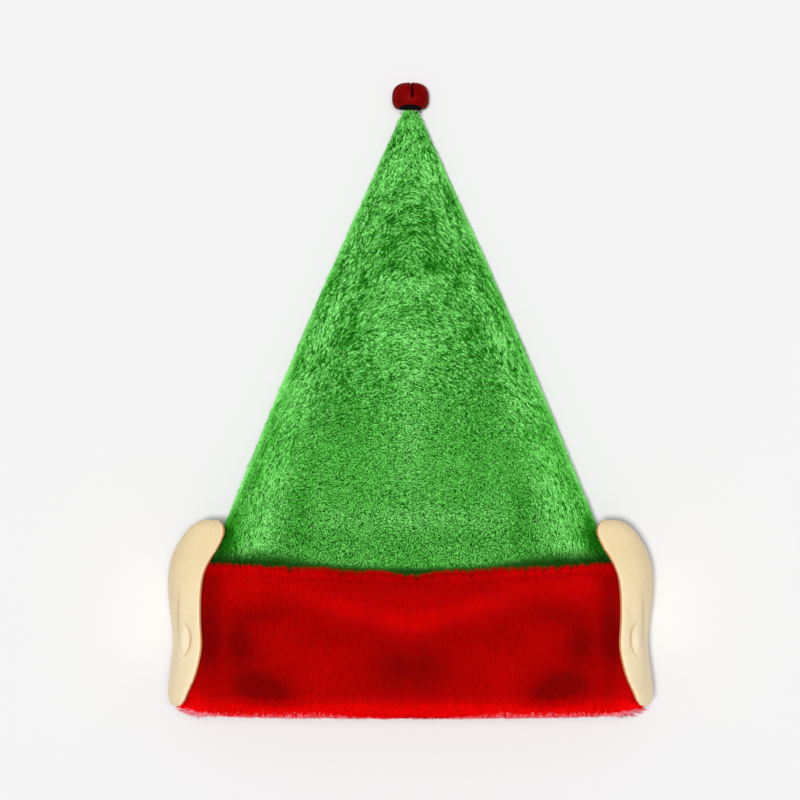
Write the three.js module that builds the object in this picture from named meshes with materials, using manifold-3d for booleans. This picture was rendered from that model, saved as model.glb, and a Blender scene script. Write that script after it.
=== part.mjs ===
// A plush elf hat lying on its back: a hollow cone, a turned-up cuff, two moulded foam ears and a jingle bell.
// Millimetres. X is across the hat, Y runs from its hem to its bell, Z is up from the surface it lies on.
import * as THREE from "three";
import { mergeVertices } from "three/addons/utils/BufferGeometryUtils.js";
import Module from "manifold-3d";

const wasm = await Module();
wasm.setup();

// Cone of plush, from the cuff's top edge to the tip
const CROWN_LENGTH = 287;
const CROWN_WIDTH = 257;
const CROWN_BELLY = 3.2;
const CROWN_PLUSH = 2.2;
const TIP_WIDTH = 11;
const TIP_ROUND = 4;
const CAVITY_TIP_WIDTH = 9;

// Cuff: an outer leaf, the fold at the hem and a short leaf turned in behind the cone's edge
const CUFF_WIDTH = 301;
const CUFF_DEPTH = 93;
const CUFF_DIP = 6;
const CUFF_PLUSH = 9.5;
const TURN_IN_DEPTH = 30;
const TURN_IN_PLUSH = 5;
const HEM_FOLD = 6.5;
const HEM_RISE = 3;

// How thick the lying hat is
const FOLD_RADIUS = 19;
const DOME = 11;
const SETTLE_LENGTH = 62;

// Ears
const EAR_LENGTH = 116.6;
const EAR_BREADTH = 24;
const EAR_THICKNESS = 4.4;
const EAR_FROM_HEM = 7.2;
const EAR_LINE_INSET = 11.5;
const EAR_LOBE_HEIGHT = 1.7;
const EAR_CREASE_DEPTH = 1.1;

// Bell
const BELL_WIDTH = 23.3;
const BELL_HEIGHT = 17;
const BELL_BASE_WIDTH = 15.2;
const BELL_GIRTH_HEIGHT = 6.3;
const BELL_WALL = 0.9;
const BELL_SLOT = 1.7;
const BELL_TURN = THREE.MathUtils.degToRad(6);
const BELL_STANDOFF = 2.5;
const LOOP_RADIUS = 2.6;
const LOOP_WIRE = 1.2;
const PELLET_WIDTH = 5.2;

// Clearance between neighbours that touch
const FIT_GAP = 0.3;

// Mesh density
const SIDE_STEPS = 7;
const FRONT_STEPS = 26;
const BACK_STEPS = 6;
const EAR_STEPS_ALONG = 26;
const EAR_STEPS_ACROSS = 14;
const BELL_STEPS = 20;

// Sizes that follow from those
const CUFF_OFFSET = FIT_GAP + CUFF_PLUSH;
const HEM_SLOT = HEM_FOLD;
const TIP_Y = CUFF_DEPTH + CROWN_LENGTH;
const BELL_BASE_Y = TIP_Y + BELL_STANDOFF;
const BELL_AXIS_Z = BELL_WIDTH / 2;
const TIP_LIFT = BELL_AXIS_Z - TIP_WIDTH / 2;
const HAT_LENGTH = BELL_BASE_Y + BELL_HEIGHT;
const LEAST_FLAT = 0.4;

// The cone's lying shape: along is a share of CROWN_LENGTH, fold of FOLD_RADIUS, dome of DOME.
const CROWN_SECTIONS = [
  { along: 0, fold: 1, dome: 1 },
  { along: 0.12, fold: 0.9, dome: 0.95 },
  { along: 0.3, fold: 0.74, dome: 0.9 },
  { along: 0.5, fold: 0.6, dome: 0.74 },
  { along: 0.68, fold: 0.5, dome: 0.52 },
  { along: 0.85, fold: 0.4, dome: 0.25 },
  { along: 1, fold: 0.3, dome: 0 },
];

// Dents in the front of the cone, on both sides of its middle. across and its reach are shares of the
// half width, along and its reach of CROWN_LENGTH, depth of CROWN_PLUSH.
const CROWN_DENTS = [
  { across: 0, along: 0.7, reachAcross: 0.5, reachAlong: 0.05, depth: 0.85 },
  { across: 0.36, along: 0.64, reachAcross: 0.2, reachAlong: 0.035, depth: 0.7 },
  { across: 0.62, along: 0.6, reachAcross: 0.14, reachAlong: 0.04, depth: 0.9 },
  { across: 0, along: 0.56, reachAcross: 0.3, reachAlong: 0.035, depth: -0.5 },
  { across: 0.2, along: 0.5, reachAcross: 0.16, reachAlong: 0.035, depth: 0.5 },
  { across: 0.3, along: 0.8, reachAcross: 0.35, reachAlong: 0.035, depth: 0.5 },
  { across: 0.72, along: 0.42, reachAcross: 0.09, reachAlong: 0.1, depth: 0.85 },
  { across: 0.8, along: 0.28, reachAcross: 0.08, reachAlong: 0.1, depth: 0.85 },
  { across: 0.87, along: 0.15, reachAcross: 0.07, reachAlong: 0.08, depth: 0.9 },
  { across: 0.45, along: 0.28, reachAcross: 0.2, reachAlong: 0.12, depth: -0.6 },
  { across: 0, along: 0.15, reachAcross: 0.35, reachAlong: 0.1, depth: 0.5 },
];

// Dents in the front of the cuff. across and its reach are shares of the half width, along and its
// reach of CUFF_DEPTH, depth of CUFF_PLUSH.
const CUFF_DENTS = [
  { across: 0.57, along: 0.25, reachAcross: 0.13, reachAlong: 0.16, depth: 0.45 },
  { across: 0.72, along: 0.5, reachAcross: 0.1, reachAlong: 0.14, depth: 0.34 },
  { across: 0.5, along: 0.72, reachAcross: 0.2, reachAlong: 0.1, depth: 0.22 },
  { across: 0.09, along: 0.34, reachAcross: 0.07, reachAlong: 0.18, depth: 0.3 },
  { across: 0.3, along: 0.42, reachAcross: 0.14, reachAlong: 0.16, depth: -0.16 },
  { across: 0.12, along: 0.8, reachAcross: 0.2, reachAlong: 0.07, depth: 0.22 },
  { across: 0.28, along: 0.14, reachAcross: 0.3, reachAlong: 0.1, depth: -0.14 },
];

// The ear from its lobe to its tip. along is a share of EAR_LENGTH; inner and outer are its edges either
// side of its line, in EAR_BREADTH; top and low are how high they lie, shares of the cuff's side.
const EAR_SECTIONS = [
  { along: 0, inner: -0.02, outer: 0.06, top: 0.74, low: 0.7 },
  { along: 0.07, inner: -0.14, outer: 0.38, top: 0.84, low: 0.55 },
  { along: 0.16, inner: -0.33, outer: 0.41, top: 0.87, low: 0.38 },
  { along: 0.25, inner: -0.44, outer: 0.37, top: 0.88, low: 0.25 },
  { along: 0.33, inner: -0.49, outer: 0.35, top: 0.89, low: 0.16 },
  { along: 0.46, inner: -0.41, outer: 0.41, top: 0.9, low: 0.09 },
  { along: 0.59, inner: -0.35, outer: 0.48, top: 0.92, low: 0.09 },
  { along: 0.68, inner: -0.39, outer: 0.49, top: 0.92, low: 0.14 },
  { along: 0.77, inner: -0.53, outer: 0.43, top: 0.9, low: 0.24 },
  { along: 0.85, inner: -0.79, outer: 0.27, top: 0.86, low: 0.36 },
  { along: 0.94, inner: -0.96, outer: -0.02, top: 0.82, low: 0.5 },
  { along: 1, inner: -0.72, outer: -0.5, top: 0.72, low: 0.64 },
];
const EAR_CURL = 0.12;
const EAR_SHOULDER = 0.12;

// The raised inner lobe and the crease round it, on the ear's front: along in EAR_LENGTH, across from
// the inner edge (0) to the outer edge (1).
const EAR_LOBE = { along: 0.34, across: 0.3, reachAlong: 0.1, reachAcross: 0.09 };
const EAR_CREASE = { from: 0.24, to: 0.62, across: 0.43, sway: 0.05, reachAcross: 0.045 };

// A value between a table's rows, by a cubic that has no overshoot beyond a row's neighbours.
function fromTable(table, column, at, place = (row) => row.along) {
  const last = table.length - 1;
  let i = 0;
  while (i < last - 1 && at > place(table[i + 1])) i += 1;
  const slope = (j) =>
    (table[j + 1][column] - table[j][column]) / (place(table[j + 1]) - place(table[j]));
  const tangent = (j) => {
    if (j === 0) return slope(0);
    if (j === last) return slope(last - 1);
    const before = slope(j - 1);
    const after = slope(j);
    return before * after <= 0 ? 0 : (2 * before * after) / (before + after);
  };
  const span = place(table[i + 1]) - place(table[i]);
  const t = THREE.MathUtils.clamp((at - place(table[i])) / span, 0, 1);
  const rise = t * t * (3 - 2 * t);
  return (
    table[i][column] * (1 - rise) +
    table[i + 1][column] * rise +
    span * (tangent(i) * t * (1 - t) * (1 - t) - tangent(i + 1) * t * t * (1 - t))
  );
}

// A smooth bump of height 1 that is 0 beyond its reach.
const bump = (distance, reach) =>
  Math.abs(distance) < 2 * reach ? Math.cos((Math.PI * distance) / (4 * reach)) ** 2 : 0;

const dentDepth = (dents, across, along) =>
  dents.reduce(
    (sum, d) =>
      sum +
      d.depth * bump(Math.abs(across) - d.across, d.reachAcross) * bump(along - d.along, d.reachAlong),
    0,
  );

// A closed mesh through rings of equally many points. Its ends are joined to each other or capped.
function loft(rings, joinEnds) {
  const count = rings[0].length;
  const points = rings.flat();
  const index = [];
  const strips = joinEnds ? rings.length : rings.length - 1;
  for (let r = 0; r < strips; r += 1) {
    const here = r * count;
    const there = ((r + 1) % rings.length) * count;
    for (let k = 0; k < count; k += 1) {
      const next = (k + 1) % count;
      index.push(here + k, here + next, there + next, here + k, there + next, there + k);
    }
  }
  if (!joinEnds) {
    const cap = (ring, start, flip) => {
      const middle = ring.reduce((sum, p) => sum.add(p), new THREE.Vector3()).divideScalar(count);
      const centre = points.push(middle) - 1;
      for (let k = 0; k < count; k += 1) {
        const next = (k + 1) % count;
        index.push(centre, start + (flip ? next : k), start + (flip ? k : next));
      }
    };
    cap(rings[0], 0, true);
    cap(rings[rings.length - 1], (rings.length - 1) * count, false);
  }
  return new THREE.BufferGeometry().setFromPoints(points).setIndex(index);
}

const { lerp, smoothstep } = THREE.MathUtils;

// The cone's outer skin at one height, inside the cuff and above it.
function skinSizes(y) {
  if (y <= CUFF_DEPTH) {
    const halfWidth = lerp(CUFF_WIDTH / 2 - CUFF_OFFSET, CROWN_WIDTH / 2, y / CUFF_DEPTH);
    return { halfWidth, fold: FOLD_RADIUS, dome: DOME, bottom: CUFF_OFFSET, along: 0 };
  }
  const along = Math.min(1, (y - CUFF_DEPTH) / CROWN_LENGTH);
  const belly = CROWN_BELLY * Math.sin(Math.PI * along);
  const tipRound = smoothstep(y, TIP_Y - TIP_ROUND, TIP_Y) ** 2 * 0.45;
  const halfWidth = (lerp(CROWN_WIDTH, TIP_WIDTH, along) / 2 + belly) * (1 - tipRound);
  const fold = FOLD_RADIUS * fromTable(CROWN_SECTIONS, "fold", along) * (1 - tipRound);
  const dome = DOME * fromTable(CROWN_SECTIONS, "dome", along);
  const settle = CUFF_OFFSET * (1 - smoothstep(y, CUFF_DEPTH, CUFF_DEPTH + SETTLE_LENGTH));
  const lift = TIP_LIFT * smoothstep(along, 0.82, 1) + (TIP_WIDTH / 2) * tipRound;
  return { halfWidth, fold: Math.min(fold, halfWidth - LEAST_FLAT), dome, bottom: settle + lift, along };
}

const RING = 2 * SIDE_STEPS + FRONT_STEPS + BACK_STEPS;

// Point k of the skin at height y, with its normal across the section. Points run from the back of the
// right side fold over the front to the left side fold and along the flat back.
function skinPoint(k, y) {
  const { halfWidth, fold, dome, bottom, along } = skinSizes(y);
  const flat = halfWidth - fold;
  const side = (centre, from, step) => {
    const angle = from + (Math.PI * step) / SIDE_STEPS;
    const normal = new THREE.Vector2(Math.cos(angle), Math.sin(angle));
    return { x: centre + fold * normal.x, z: bottom + fold + fold * normal.y, normal };
  };
  let point;
  if (k < SIDE_STEPS) point = side(flat, -Math.PI / 2, k);
  else if (k < SIDE_STEPS + FRONT_STEPS) {
    const share = 1 - (2 * (k - SIDE_STEPS)) / FRONT_STEPS;
    const rise = dome * (0.5 + 0.5 * Math.cos(Math.PI * share));
    const slope = (-dome * 0.5 * Math.PI * Math.sin(Math.PI * share)) / flat;
    const normal = new THREE.Vector2(-slope, 1).normalize();
    point = { x: flat * share, z: bottom + 2 * fold + rise, normal };
  } else if (k < 2 * SIDE_STEPS + FRONT_STEPS) {
    point = side(-flat, Math.PI / 2, k - SIDE_STEPS - FRONT_STEPS);
  } else {
    const share = (2 * (k - 2 * SIDE_STEPS - FRONT_STEPS)) / BACK_STEPS - 1;
    point = { x: flat * share, z: bottom, normal: new THREE.Vector2(0, -1) };
  }
  point.across = point.x / halfWidth;
  const front = point.normal.y > 0 && along > 0;
  if (front) point.z -= CROWN_PLUSH * point.normal.y * dentDepth(CROWN_DENTS, point.across, along);
  return point;
}

const offsetPoint = (k, y, out) => {
  const p = skinPoint(k, y);
  return new THREE.Vector3(p.x + out * p.normal.x, y, p.z + out * p.normal.y);
};

const around = (make) => Array.from({ length: RING }, (_, k) => make(k));
const acrossAt = around((k) => skinPoint(k, CUFF_DEPTH / 2).across);

// The hem rises at both side folds, and the cuff's top edge dips in the middle.
const hemAt = (k) => HEM_RISE * Math.abs(acrossAt[k]) ** 7;
const cuffTopAt = (k) => CUFF_DEPTH - CUFF_DIP * Math.cos((Math.PI / 2) * acrossAt[k]) ** 1.5;

function solidOf(geometry) {
  const bare = geometry.index ? geometry.toNonIndexed() : geometry.clone();
  bare.deleteAttribute("normal");
  bare.deleteAttribute("uv");
  const merged = mergeVertices(bare, 1e-4);
  return new wasm.Manifold(
    new wasm.Mesh({
      numProp: 3,
      vertProperties: merged.attributes.position.array,
      triVerts: new Uint32Array(merged.index.array),
    }),
  );
}

function geometryOf(solid) {
  const mesh = solid.getMesh();
  return new THREE.BufferGeometry()
    .setAttribute("position", new THREE.BufferAttribute(mesh.vertProperties, 3))
    .setIndex(new THREE.BufferAttribute(mesh.triVerts, 1));
}

// The hollow cone: down the outside from the tip, round the lower edge and up the cavity's wall, with a
// notch in the tip for the bell's loop.
function crownGeometry() {
  const shares = (count, bend) =>
    Array.from({ length: count + 1 }, (_, i) => (i / count) ** bend);
  const widthAlong = (width) => (CROWN_WIDTH - width) / (CROWN_WIDTH - TIP_WIDTH);
  const cavityTop = CUFF_DEPTH + CROWN_LENGTH * widthAlong(CAVITY_TIP_WIDTH + 2 * CROWN_PLUSH);
  const inCuff = [0.35, 0.7].map((s) => s * CUFF_DEPTH);
  const above = shares(20, 1.1).map((s) => lerp(CUFF_DEPTH, TIP_Y - TIP_ROUND, s));
  const inside = shares(15, 1.1).map((s) => lerp(CUFF_DEPTH, cavityTop, s));
  const rounding = [0.5, 0.85, 1].map((s) => TIP_Y - TIP_ROUND * (1 - s));
  const edge = (k) => hemAt(k) + HEM_SLOT + FIT_GAP;
  const row = (y, out) => around((k) => offsetPoint(k, y, out));
  const rings = [
    ...[...inside].reverse().map((y) => row(y, -CROWN_PLUSH)),
    ...[...inCuff].reverse().map((y) => row(y, -CROWN_PLUSH)),
    around((k) => offsetPoint(k, edge(k), -CROWN_PLUSH)),
    around((k) => offsetPoint(k, edge(k), 0)),
    ...[...inCuff, ...above, ...rounding].map((y) => row(y, 0)),
  ];
  const reach = LOOP_RADIUS + LOOP_WIRE / 2 - BELL_STANDOFF + FIT_GAP;
  const notch = new THREE.BoxGeometry(2 * LOOP_RADIUS + LOOP_WIRE, 2 * reach, LOOP_WIRE + 2 * FIT_GAP);
  notch.translate(0, TIP_Y, BELL_AXIS_Z);
  return geometryOf(solidOf(loft(rings.reverse(), false)).subtract(solidOf(notch)));
}

// The cuff's cross-section, as points of distance out from the cone's skin and height. The outer face
// takes the dents.
function cuffOutline(hem, top) {
  const back = -CROWN_PLUSH - FIT_GAP;
  const inmost = back - TURN_IN_PLUSH;
  const slot = hem + HEM_SLOT;
  const turnIn = hem + TURN_IN_DEPTH;
  const rim = CUFF_PLUSH / 2;
  const arc = (cx, cy, rx, ry, from, to, steps, outer) =>
    Array.from({ length: steps + 1 }, (_, i) => {
      const a = lerp(from, to, i / steps);
      return { out: cx + rx * Math.cos(a), y: cy + ry * Math.sin(a), outer };
    });
  const face = [0.13, 0.26, 0.39, 0.52, 0.65, 0.78, 0.9].map((s) => ({
    out: CUFF_OFFSET,
    y: lerp(top - rim, hem + HEM_FOLD, s),
    outer: true,
  }));
  return [
    { out: FIT_GAP, y: slot },
    { out: FIT_GAP, y: lerp(slot, top - rim, 0.5) },
    ...arc(FIT_GAP + rim, top - rim, rim, rim, Math.PI, 0, 4, false),
    ...face,
    ...arc(
      (CUFF_OFFSET + inmost) / 2,
      hem + HEM_FOLD,
      (CUFF_OFFSET - inmost) / 2,
      HEM_FOLD,
      0,
      -Math.PI,
      6,
      false,
    ),
    { out: inmost, y: lerp(hem + HEM_FOLD, turnIn - TURN_IN_PLUSH / 2, 0.5) },
    ...arc(back - TURN_IN_PLUSH / 2, turnIn - TURN_IN_PLUSH / 2, TURN_IN_PLUSH / 2, TURN_IN_PLUSH / 2,
      Math.PI, 0, 3, false),
    { out: back, y: slot },
  ];
}

function cuffGeometry() {
  const columns = around((k) => cuffOutline(hemAt(k), cuffTopAt(k)));
  const rings = columns[0].map((_, j) =>
    around((k) => {
      const p = columns[k][j];
      const front = p.outer && skinPoint(k, p.y).normal.y > 0;
      const dent = front ? CUFF_PLUSH * dentDepth(CUFF_DENTS, acrossAt[k], p.y / CUFF_DEPTH) : 0;
      return offsetPoint(k, p.y, p.out - dent);
    }),
  );
  return loft(rings, true);
}

// The round side that the ear lies over: the cuff's, and above it the cone's.
function sideRound(y) {
  const { halfWidth, fold, bottom } = skinSizes(y);
  const cuff = CUFF_OFFSET * (1 - smoothstep(y, CUFF_DEPTH, CUFF_DEPTH + CUFF_PLUSH));
  return { x: halfWidth - fold, z: bottom + fold, radius: fold + cuff };
}

// The middle of the ear's foam across one section, from the inner edge to the outer edge.
function earCurve(at) {
  const station = (row) => Math.acos(1 - 2 * row.along) / Math.PI;
  const along = (1 - Math.cos(Math.PI * at)) / 2;
  const y = EAR_FROM_HEM + EAR_LENGTH * along;
  const value = (column) => fromTable(EAR_SECTIONS, column, at, station);
  const line = CUFF_WIDTH / 2 - EAR_LINE_INSET;
  const sideHeight = 2 * (FOLD_RADIUS + CUFF_OFFSET);
  const inner = { x: line + EAR_BREADTH * value("inner"), z: sideHeight * value("top") };
  const outerX = line + EAR_BREADTH * value("outer");
  const curl = EAR_CURL * (outerX - inner.x);
  const outer = { x: outerX - curl, z: sideHeight * value("low") };
  const shoulder = {
    x: outerX + Math.sqrt((outerX - inner.x) * curl),
    z: lerp(inner.z, outer.z, EAR_SHOULDER),
  };
  const round = sideRound(y);
  const least = round.radius + FIT_GAP + EAR_THICKNESS / 2;
  const point = (s) => {
    const a = (1 - s) * (1 - s);
    const b = 2 * s * (1 - s);
    const c = s * s;
    const x = a * inner.x + b * shoulder.x + c * outer.x - round.x;
    const z = a * inner.z + b * shoulder.z + c * outer.z - round.z;
    const away = Math.max(1, least / Math.hypot(x, z));
    return new THREE.Vector2(round.x + x * away, round.z + z * away);
  };
  return { point, y, along };
}

function earRelief(along, s) {
  const lobe =
    bump(along - EAR_LOBE.along, EAR_LOBE.reachAlong) * bump(s - EAR_LOBE.across, EAR_LOBE.reachAcross);
  const middle = (EAR_CREASE.from + EAR_CREASE.to) / 2;
  const reach = (EAR_CREASE.to - EAR_CREASE.from) / 2;
  const t = (along - middle) / reach;
  const line = EAR_CREASE.across - EAR_CREASE.sway * t;
  const crease = Math.abs(t) < 1 ? (1 - t * t) * bump(s - line, EAR_CREASE.reachAcross) : 0;
  return EAR_LOBE_HEIGHT * lobe - EAR_CREASE_DEPTH * crease;
}

function earGeometry(mirror) {
  const ringAt = (at) => {
    const { point, y, along } = earCurve(at);
    const nearEnd = Math.min(along, 1 - along) * EAR_LENGTH;
    const half = (EAR_THICKNESS / 2) * Math.sqrt(Math.min(1, nearEnd / EAR_THICKNESS + 0.05));
    const front = [];
    const back = [];
    for (let i = 0; i <= EAR_STEPS_ACROSS; i += 1) {
      const s = (i / EAR_STEPS_ACROSS) ** 1.2;
      const p = point(s);
      const d = 0.01;
      const tangent = point(Math.min(1, s + d)).sub(point(Math.max(0, s - d)));
      const normal = new THREE.Vector2(-tangent.y, tangent.x).normalize();
      const edge = Math.min(i, EAR_STEPS_ACROSS - i);
      const thin = edge === 0 ? 0.45 : 1;
      const out = half * thin + (edge === 0 ? 0 : earRelief(along, s));
      front.push(new THREE.Vector3(p.x + out * normal.x, y, p.y + out * normal.y));
      back.push(new THREE.Vector3(p.x - half * thin * normal.x, y, p.y - half * thin * normal.y));
    }
    return [...front, ...back.reverse()];
  };
  const stations = Array.from({ length: EAR_STEPS_ALONG }, (_, i) => (i + 0.5) / EAR_STEPS_ALONG);
  const rings = stations.map(ringAt);
  if (!mirror) return loft(rings, false);
  return loft(rings.map((ring) => ring.map((p) => p.clone().setX(-p.x)).reverse()), false);
}

// The bell's outline from its flat base to its pole, round the Y axis, drawn in by the given wall.
function bellRadius(height, wall) {
  const base = BELL_BASE_WIDTH / 2 - wall;
  const girth = BELL_WIDTH / 2 - wall;
  if (height < BELL_GIRTH_HEIGHT) {
    const t = 1 - (height - wall) / (BELL_GIRTH_HEIGHT - wall);
    return base + (girth - base) * Math.sqrt(Math.max(0, 1 - t * t));
  }
  const t = (height - BELL_GIRTH_HEIGHT) / (BELL_HEIGHT - wall - BELL_GIRTH_HEIGHT);
  const square = 2.8;
  return girth * Math.max(0, 1 - t ** square) ** (1 / square);
}

function bellBody(wall) {
  const lower = [0, 0.12, 0.35, 0.65].map((s) => lerp(wall, BELL_GIRTH_HEIGHT, s));
  const upper = [0, 0.22, 0.42, 0.6, 0.75, 0.87, 0.95].map((s) =>
    lerp(BELL_GIRTH_HEIGHT, BELL_HEIGHT - wall, s),
  );
  const profile = [
    new THREE.Vector2(0, wall),
    ...[...lower, ...upper].map((y) => new THREE.Vector2(bellRadius(y, wall), y)),
    new THREE.Vector2(0, BELL_HEIGHT - wall),
  ];
  return solidOf(new THREE.LatheGeometry(profile, BELL_STEPS));
}

function bellGeometry() {
  const slotHeight = BELL_HEIGHT;
  const slot = (turn) => {
    const box = new THREE.BoxGeometry(BELL_SLOT, slotHeight, BELL_WIDTH * 1.2);
    box.translate(0, BELL_GIRTH_HEIGHT + slotHeight / 2, 0);
    box.rotateY(turn);
    return solidOf(box);
  };
  const loop = new THREE.TorusGeometry(LOOP_RADIUS, LOOP_WIRE / 2, 8, 16);
  const body = bellBody(0)
    .subtract(bellBody(BELL_WALL))
    .subtract(slot(BELL_TURN))
    .subtract(slot(BELL_TURN + Math.PI / 2))
    .add(solidOf(loop));
  return geometryOf(body);
}

function pelletGeometry() {
  return new THREE.SphereGeometry(PELLET_WIDTH / 2, 12, 8);
}

const GREEN = new THREE.MeshStandardMaterial({ color: 0x4ca53d, roughness: 0.95, metalness: 0 });
const RED = new THREE.MeshStandardMaterial({ color: 0xb40a0a, roughness: 0.9, metalness: 0 });
const TAN = new THREE.MeshStandardMaterial({ color: 0xf0deb4, roughness: 0.9, metalness: 0 });
const LACQUER = new THREE.MeshStandardMaterial({ color: 0x7d0404, roughness: 0.35, metalness: 0.5 });
const STEEL = new THREE.MeshStandardMaterial({ color: 0x8a8d92, roughness: 0.35, metalness: 1 });

function piece(name, geometry, material) {
  const mesh = new THREE.Mesh(geometry, material);
  mesh.name = name;
  return mesh;
}

const bellGroup = new THREE.Group();
bellGroup.position.set(0, BELL_BASE_Y, BELL_AXIS_Z);
const pellet = piece("bell_pellet", pelletGeometry(), STEEL);
const pelletHeight = BELL_GIRTH_HEIGHT - BELL_WALL;
const pelletDrop = bellRadius(pelletHeight, BELL_WALL) - PELLET_WIDTH / 2 - 2 * FIT_GAP;
pellet.position.set(0, pelletHeight, -pelletDrop);
bellGroup.add(piece("bell", bellGeometry(), LACQUER), pellet);

const hat = new THREE.Group();
hat.add(
  piece("crown", crownGeometry(), GREEN),
  piece("cuff", cuffGeometry(), RED),
  piece("left_ear", earGeometry(true), TAN),
  piece("right_ear", earGeometry(false), TAN),
  bellGroup,
);
hat.position.y = -HAT_LENGTH / 2;

const elfHat = new THREE.Group();
elfHat.add(hat);

export default elfHat;
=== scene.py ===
import math

import bmesh
import bpy
import numpy as np
from mathutils import Matrix, Vector
from mathutils.bvhtree import BVHTree
from mathutils.kdtree import KDTree


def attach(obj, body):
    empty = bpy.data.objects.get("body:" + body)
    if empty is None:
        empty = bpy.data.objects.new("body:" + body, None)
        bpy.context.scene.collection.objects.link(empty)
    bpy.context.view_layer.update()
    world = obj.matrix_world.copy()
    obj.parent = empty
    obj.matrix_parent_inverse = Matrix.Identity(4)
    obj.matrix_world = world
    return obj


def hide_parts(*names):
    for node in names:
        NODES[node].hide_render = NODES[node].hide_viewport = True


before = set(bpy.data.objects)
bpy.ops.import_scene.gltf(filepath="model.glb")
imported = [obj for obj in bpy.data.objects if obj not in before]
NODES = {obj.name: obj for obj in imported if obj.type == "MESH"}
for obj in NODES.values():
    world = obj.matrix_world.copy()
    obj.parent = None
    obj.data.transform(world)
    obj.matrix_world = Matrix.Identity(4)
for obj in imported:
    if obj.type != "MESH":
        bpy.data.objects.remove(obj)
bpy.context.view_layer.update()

MM = 0.001

# Places along the hat and across it
HEM_Y = -199.75 * MM
CUFF_TOP_Y = -106.75 * MM
CUFF_DIP = 6 * MM
CUFF_DIP_HALF = 135 * MM
CUFF_FLAT = 121.7 * MM
CUFF_MID_Z = 28.8 * MM
TIP_Y = 180.25 * MM
BELL_Y = 182.75 * MM
BELL_Z = 11.65 * MM

# Half of the cone's width at the cuff, in mm, what it loses up to the tip and how far it swells
CROWN_HALF = 128.5
CROWN_TAPER = 123
CROWN_SWELL = 3.2

# How deep the backing cloth lies under the tips of its pile, and where another piece covers it
CROWN_PILE = 1.1 * MM
CROWN_COVERED = 0.1 * MM
CUFF_PILE = 3.2 * MM
CUFF_COVERED = 0.2 * MM
FLOOR_CLEAR = 0.15 * MM

# A place of the cone or the cuff is covered when the other's cloth is this near above it
CROWN_REACH = 4 * MM
CUFF_REACH = 2.5 * MM

# Farther than any way across the hollow, in metres
ACROSS_HOLLOW = 0.4

# An ear or the bell presses down the strands that are this near to it
CROWN_ROOM = 5 * MM
CUFF_ROOM = 7 * MM
HEM_ROOM = 2 * MM

# Points of a CAD mesh that are nearer than this become one
WELD = 0.02 * MM

# How often the copy of a CAD solid is made finer
FINER = 2

# How far off its surface a ray starts, in metres
JUST_OFF = 1e-5

# Fewer strands while trying things out
SHARE = 1.0

# How much cloth one strand stands on, in square metres
STRAND_ROOM = 0.22e-6 / SHARE

# How many tuft middles round a strand are tried for it
TUFTS_NEAR = 8

# How much more the tufts differ in length than the strands in them
TUFT_UNEVEN = 1.4

# How deep in the cloth a strand's root starts
ROOT_DEPTH = 0.3 * MM

# A strand's least and greatest lift off the cloth, in radians
LIFTS = (0.02, 1.5)

# A strand's least and greatest width, as shares of its pile's
WIDTHS = (0.7, 1.3)

# How far strands are turned to show their flat side upwards where the cloth is steep
LEVEL = 0.9

# A blade's corners are its root, its two shoulders and its tip, and these are its two faces
BLADE_FACES = np.array([0, 1, 2, 1, 3, 2])

# How far along the strand each corner's colour is
BLADE_SHARES = [0.0, 0.55, 0.55, 1.0]

# Where each corner is in the blade's own cell of the pile's flat layout
BLADE_CELL = np.array([[0.5, 0.1], [0.1, 0.5], [0.9, 0.5], [0.5, 0.9]])

# Soft noise adds this many waves, each as long as so many of its blobs, and this sum counts as 1
WAVES = 7
WAVE_LENGTHS = (1.6, 3.4)
WAVE_TOP = 1.6

# How far along its run from deep to light each of a pile's four colours stands
PILE_STOPS = (0.0, 0.5, 0.82, 1.0)


def linear(red, green, blue):
    """A screen colour, 0 to 255, as the light that it stands for."""
    return tuple(
        (c / 255 / 12.92) if c <= 10 else ((c / 255 + 0.055) / 1.055) ** 2.4
        for c in (red, green, blue)
    )


# Numbers over places


def smooth(value, low, high):
    t = np.clip((value - low) / (high - low), 0, 1)
    return t * t * (3 - 2 * t)


def cloudy(places, size, seed):
    """Soft noise, about -1 to 1, with blobs of the given size."""
    rng = np.random.default_rng(seed)
    total = np.zeros(len(places))
    for _ in range(WAVES):
        way = rng.normal(size=3)
        length = size * rng.uniform(*WAVE_LENGTHS)
        way *= 2 * math.pi / length / np.linalg.norm(way)
        total += np.sin(places @ way + rng.uniform(0, 2 * math.pi))
    return total / math.sqrt(WAVES / 2) / WAVE_TOP


def unit(vectors):
    return vectors / np.maximum(np.linalg.norm(vectors, axis=1, keepdims=True), 1e-12)


def off_middle(places, near, far):
    """0 within near mm of the hat's middle line, 1 beyond far mm."""
    return smooth(np.abs(places[:, 0]), near * MM, far * MM)


def above_floor(places, low, high):
    """0 up to low mm above the floor, 1 from high mm up."""
    return smooth(places[:, 2], low * MM, high * MM)


def above_hem(places, low, high):
    """0 up to low mm above the hem, 1 from high mm up."""
    return smooth(places[:, 1], HEM_Y + low * MM, HEM_Y + high * MM)


def near_tip(places, start, end):
    """0 down from start mm below the cone's tip, 1 up from end mm below it."""
    return smooth(places[:, 1], TIP_Y - start * MM, TIP_Y - end * MM)


def patches(places, table):
    """How much of each soft spot lies on the places; the spots are on both sides of the middle."""
    total = np.zeros(len(places))
    across, up = np.abs(places[:, 0]) / MM, places[:, 1] / MM
    for spot in table:
        tilt = math.radians(spot["tilt"])
        dx, dy = across - spot["x"], up - spot["y"]
        u = (dx * math.cos(tilt) + dy * math.sin(tilt)) / spot["wide"]
        v = (dy * math.cos(tilt) - dx * math.sin(tilt)) / spot["tall"]
        total += spot["depth"] * np.exp(-(u * u + v * v))
    return total


# Shader nodes


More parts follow.
